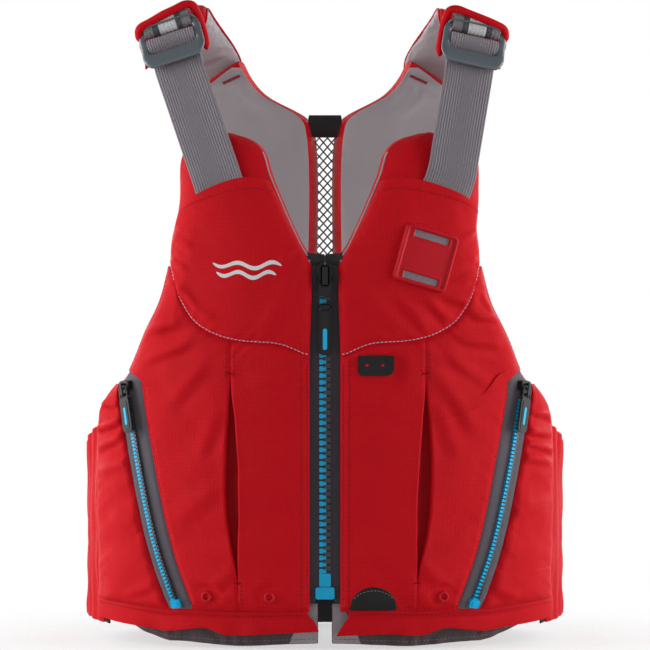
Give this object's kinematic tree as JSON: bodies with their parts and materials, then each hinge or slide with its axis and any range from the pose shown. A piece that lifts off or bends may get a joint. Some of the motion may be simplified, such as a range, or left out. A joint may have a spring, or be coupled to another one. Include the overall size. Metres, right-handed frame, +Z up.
{
  "type": "life jacket",
  "caption": "Front-zip foam paddling life jacket with mesh back, curved zip pockets, padded shoulders with ladder-lock straps and a lash tab.",
  "frame": {"origin": "under the middle of the jacket's box, level with the front and back hems", "axes": "+Z up as worn, -Y the front, +X the wearer's left"},
  "size_m": [0.3896, 0.2795, 0.5143],
  "materials": {
    "black_mesh": "open diamond mesh",
    "black_plastic": "moulded",
    "black_rubber": "moulded",
    "black_webbing": "woven binding",
    "blue_plastic": "moulded zip teeth",
    "foam": "closed-cell buoyancy foam, inside",
    "grey_lining": "satin nylon",
    "grey_plastic": "moulded, satin",
    "grey_webbing": "ribbed polyester webbing",
    "red_nylon": "ripstop nylon, slight sheen",
    "red_rubber": "embossed",
    "striped_webbing": "striped webbing with a reflective band",
    "taupe_nylon": "plain woven nylon",
    "zip_tape": "herringbone zip tape"
  },
  "bodies": {
    "back": {"back_foam_left": "foam", "back_foam_right": "foam", "back_lining_left": "grey_lining", "back_lining_right": "grey_lining", "back_mesh": "black_mesh", "back_shell_left": "red_nylon", "back_shell_right": "red_nylon", "neck_binding": "black_webbing", "shoulder_loop_left": "striped_webbing", "shoulder_loop_right": "striped_webbing", "shoulder_pad_left": "red_nylon", "shoulder_pad_right": "red_nylon", "side_buckle_left": "black_plastic", "side_buckle_right": "black_plastic", "side_panel_left": "red_nylon", "side_panel_right": "red_nylon", "side_strap_left": "black_webbing", "side_strap_right": "black_webbing", "waistband": "black_webbing"},
    "front_left": {"centre_zip_tape_left": "zip_tape", "centre_zip_teeth_left": "black_plastic", "chest_yoke_left": "red_nylon", "drain_eyelet_left": "grey_plastic", "front_foam_left": "foam", "front_lining_left": "grey_lining", "front_shell_left": "red_nylon", "hem_facing_left": "taupe_nylon", "key_patch": "black_webbing", "lash_tab": "red_rubber", "pocket_front_left": "red_nylon", "pocket_side_left": "red_nylon", "pocket_zip_tape_left": "zip_tape", "pocket_zip_teeth_left": "blue_plastic", "rubber_tab": "black_rubber", "shoulder_strap_left": "grey_webbing", "zip_pin": "blue_plastic"},
    "front_right": {"centre_zip_tape_right": "zip_tape", "centre_zip_teeth_right": "blue_plastic", "chest_yoke_right": "red_nylon", "drain_eyelet_right_inner": "grey_plastic", "drain_eyelet_right_outer": "grey_plastic", "front_foam_right": "foam", "front_lining_right": "grey_lining", "front_shell_right": "red_nylon", "hem_facing_right": "taupe_nylon", "pocket_front_right": "red_nylon", "pocket_side_right": "red_nylon", "pocket_zip_tape_right": "zip_tape", "pocket_zip_teeth_right": "blue_plastic", "shoulder_strap_right": "grey_webbing", "zip_retainer_box": "blue_plastic"},
    "lock_left": {"ladder_lock_left": "grey_plastic"},
    "lock_right": {"ladder_lock_right": "grey_plastic"},
    "main_pull_tab": {"main_pull_tab": "black_plastic"},
    "main_puller": {"main_puller": "black_plastic"},
    "main_slider": {"main_slider": "black_plastic"},
    "pocket_puller_left": {"pocket_puller_left": "black_plastic"},
    "pocket_puller_right": {"pocket_puller_right": "black_plastic"},
    "pocket_slider_left": {"pocket_slider_left": "black_plastic"},
    "pocket_slider_right": {"pocket_slider_right": "black_plastic"}
  },
  "joints": [
    {"name": "front_left_swing", "type": "hinge", "parent": "back", "child": "front_left", "pos_m": [0.183, -0.05482, 0.172], "axis": [-0.2006, -0.0336, 0.9791], "range_deg": [0, 50], "deforming": ["shoulder_strap_left", "centre_zip_tape_left", "centre_zip_teeth_left"]},
    {"name": "lock_left_tilt", "type": "hinge", "parent": "back", "child": "lock_left", "pos_m": [0.12108, -0.06202, 0.48969], "axis": [-0.9666, -0.1509, 0.2072], "range_deg": [0, 40]},
    {"name": "pocket_slider_left_travel", "type": "hinge", "parent": "front_left", "child": "pocket_slider_left", "pos_m": [-0.6224, -0.2002, 0.30971], "axis": [-0.151, 0.9824, -0.1101], "range_deg": [0, 11.51], "deforming": ["pocket_zip_teeth_left", "pocket_zip_tape_left"]},
    {"name": "pocket_puller_left_swing", "type": "hinge", "parent": "pocket_slider_left", "child": "pocket_puller_left", "pos_m": [0.16052, -0.09556, 0.20312], "axis": [-0.7457, -0.632, 0.2109], "range_deg": [0, 80]},
    {"name": "front_right_swing", "type": "hinge", "parent": "back", "child": "front_right", "pos_m": [-0.183, -0.05482, 0.172], "axis": [-0.1869, 0.031, -0.9819], "range_deg": [0, 50], "deforming": ["shoulder_strap_right", "centre_zip_tape_right", "centre_zip_teeth_right"]},
    {"name": "lock_right_tilt", "type": "hinge", "parent": "back", "child": "lock_right", "pos_m": [-0.12605, -0.06112, 0.4921], "axis": [-0.9463, 0.113, -0.3029], "range_deg": [0, 40]},
    {"name": "pocket_slider_right_travel", "type": "hinge", "parent": "front_right", "child": "pocket_slider_right", "pos_m": [0.6224, -0.2002, 0.30971], "axis": [-0.151, -0.9824, 0.1101], "range_deg": [0, 11.51], "deforming": ["pocket_zip_teeth_right", "pocket_zip_tape_right"]},
    {"name": "pocket_puller_right_swing", "type": "hinge", "parent": "pocket_slider_right", "child": "pocket_puller_right", "pos_m": [-0.16052, -0.09556, 0.20312], "axis": [-0.7457, 0.632, -0.2109], "range_deg": [0, 80]},
    {"name": "main_slider_travel", "type": "slide", "parent": "front_right", "child": "main_slider", "axis": [0, 0, 1], "range_m": [-0.217, 0]},
    {"name": "main_puller_swing", "type": "hinge", "parent": "main_slider", "child": "main_puller", "pos_m": [0, -0.13295, 0.28975], "axis": [-1, 0, 0], "range_deg": [0, 100]},
    {"name": "pull_tab_swing", "type": "hinge", "parent": "main_puller", "child": "main_pull_tab", "pos_m": [0, -0.13295, 0.26725], "axis": [-1, 0, 0], "range_deg": [0, 70]}
  ]
}
